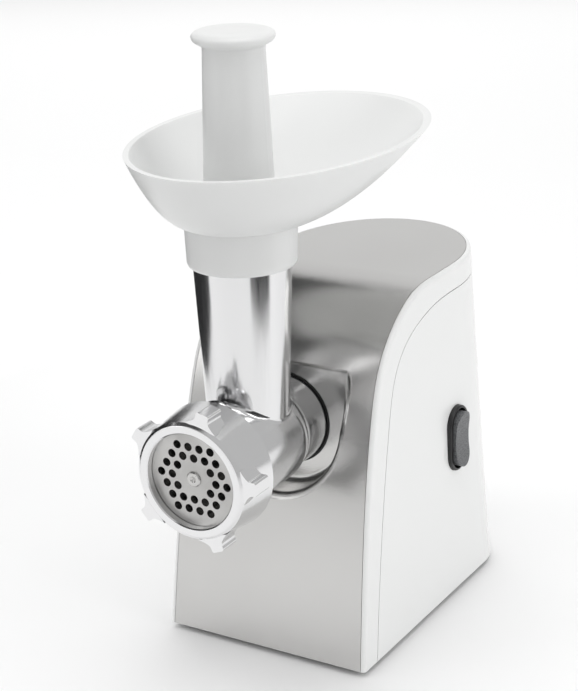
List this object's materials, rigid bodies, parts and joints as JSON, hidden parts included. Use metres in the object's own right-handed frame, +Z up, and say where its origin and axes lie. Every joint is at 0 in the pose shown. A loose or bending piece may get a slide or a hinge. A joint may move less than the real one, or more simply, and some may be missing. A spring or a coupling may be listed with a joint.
{
  "type": "electric meat grinder",
  "caption": "Household electric meat grinder with a steel-fronted body, a cast feed head, a hopper pan and a pusher.",
  "frame": {"origin": "on the table under the middle of the machine's box", "axes": "+Z up, the cutting plate faces -Y, the switch is on the +X side"},
  "size_m": [0.1362, 0.2539, 0.3385],
  "materials": {
    "steel_cover": "brushed",
    "white_plastic": "gloss",
    "grey_plastic": "satin",
    "black_plastic": "satin",
    "rubber": "matte",
    "cast_aluminium": "polished",
    "plate_steel": "satin",
    "machined_steel": "machined",
    "zinc_steel": "zinc plated",
    "gear_nylon": "satin",
    "bronze": "machined",
    "copper": "varnished",
    "core_steel": "oxide",
    "carbon": "matte",
    "blue_film": "gloss",
    "plate_galvanised": "galvanised"
  },
  "bodies": {
    "base": {"base_plate": "grey_plastic", "base_screws": "zinc_steel", "brush_caps": "black_plastic", "brush_holders": "bronze", "brush_springs": "machined_steel", "carbon_brushes": "carbon", "cord_gland": "black_plastic", "field_coils": "copper", "filter_capacitor": "blue_film", "front_cover": "steel_cover", "gear_pins": "machined_steel", "gearbox_cover": "grey_plastic", "gearbox_housing": "grey_plastic", "gearbox_screws": "zinc_steel", "lock_spring": "machined_steel", "motor_bearings": "machined_steel", "motor_cushion": "rubber", "motor_front_bracket": "plate_galvanised", "motor_rear_bracket": "plate_galvanised", "motor_screws": "zinc_steel", "output_bushes": "bronze", "rear_housing": "white_plastic", "rim_frame": "white_plastic", "rubber_feet": "rubber", "socket_ring": "black_plastic", "stator_core": "core_steel", "switch_bezel": "black_plastic", "switch_body": "black_plastic", "terminal_block": "white_plastic"},
    "rotor": {"rotor_shaft": "machined_steel", "rotor_core": "core_steel", "rotor_winding": "copper", "commutator": "copper", "cooling_fan": "black_plastic", "motor_pinion": "machined_steel"},
    "first_wheel": {"first_gear": "gear_nylon"},
    "second_wheel": {"second_gear": "gear_nylon"},
    "screw": {"output_gear": "gear_nylon", "output_shaft": "machined_steel", "feed_screw": "cast_aluminium", "screw_washer": "black_plastic", "cutting_knife": "machined_steel"},
    "head": {"head_casting": "cast_aluminium"},
    "plate": {"cutting_plate": "plate_steel"},
    "ring": {"ring_nut": "cast_aluminium"},
    "hopper": {"hopper_pan": "white_plastic"},
    "pusher": {"pusher": "white_plastic"},
    "rocker": {"switch_rocker": "grey_plastic"},
    "lock": {"lock_button": "black_plastic"}
  },
  "joints": [
    {"name": "rotor_spin", "type": "hinge", "parent": "base", "child": "rotor", "pos_m": [0, 0.06, 0.04983], "axis": [0, 1, 0], "continuous": true},
    {"name": "first_gear_spin", "type": "hinge", "parent": "base", "child": "first_wheel", "pos_m": [-0.02027, 0.02, 0.06674], "axis": [0, 1, 0], "continuous": true},
    {"name": "second_gear_spin", "type": "hinge", "parent": "base", "child": "second_wheel", "pos_m": [0.01262, 0.01, 0.07871], "axis": [0, 1, 0], "continuous": true},
    {"name": "screw_spin", "type": "hinge", "parent": "base", "child": "screw", "pos_m": [0, 0, 0.1258], "axis": [0, 1, 0], "continuous": true},
    {"name": "head_twist", "type": "hinge", "parent": "base", "child": "head", "pos_m": [0, -0.0175, 0.1258], "axis": [0, 1, 0], "range_deg": [0, 45]},
    {"name": "plate_slide", "type": "slide", "parent": "head", "child": "plate", "axis": [0, -1, 0], "range_m": [0, 0.009]},
    {"name": "ring_turn", "type": "hinge", "parent": "plate", "child": "ring", "pos_m": [0, -0.1125, 0.1258], "axis": [0, -1, 0], "range_deg": [0, 1080]},
    {"name": "hopper_lift", "type": "slide", "parent": "head", "child": "hopper", "axis": [0, 0, 1], "range_m": [0, 0.1]},
    {"name": "pusher_slide", "type": "slide", "parent": "head", "child": "pusher", "axis": [0, 0, 1], "range_m": [0, 0.15]},
    {"name": "rocker_tilt", "type": "hinge", "parent": "base", "child": "rocker", "pos_m": [0.054, 0.0515, 0.0935], "axis": [0, 1, 0], "range_deg": [-8, 8]},
    {"name": "lock_press", "type": "slide", "parent": "base", "child": "lock", "axis": [0, 1, 0], "range_m": [0, 0.005], "stiffness_N_per_m": 200, "deforming": ["lock_spring"]}
  ],
  "couplings": [
    {"joint": "first_gear_spin", "follows": "rotor_spin", "ratio": -0.22222},
    {"joint": "second_gear_spin", "follows": "rotor_spin", "ratio": 0.055556},
    {"joint": "screw_spin", "follows": "rotor_spin", "ratio": -0.013889},
    {"joint": "plate_slide", "follows": "ring_turn", "m_per_rad": 0.00047746}
  ]
}
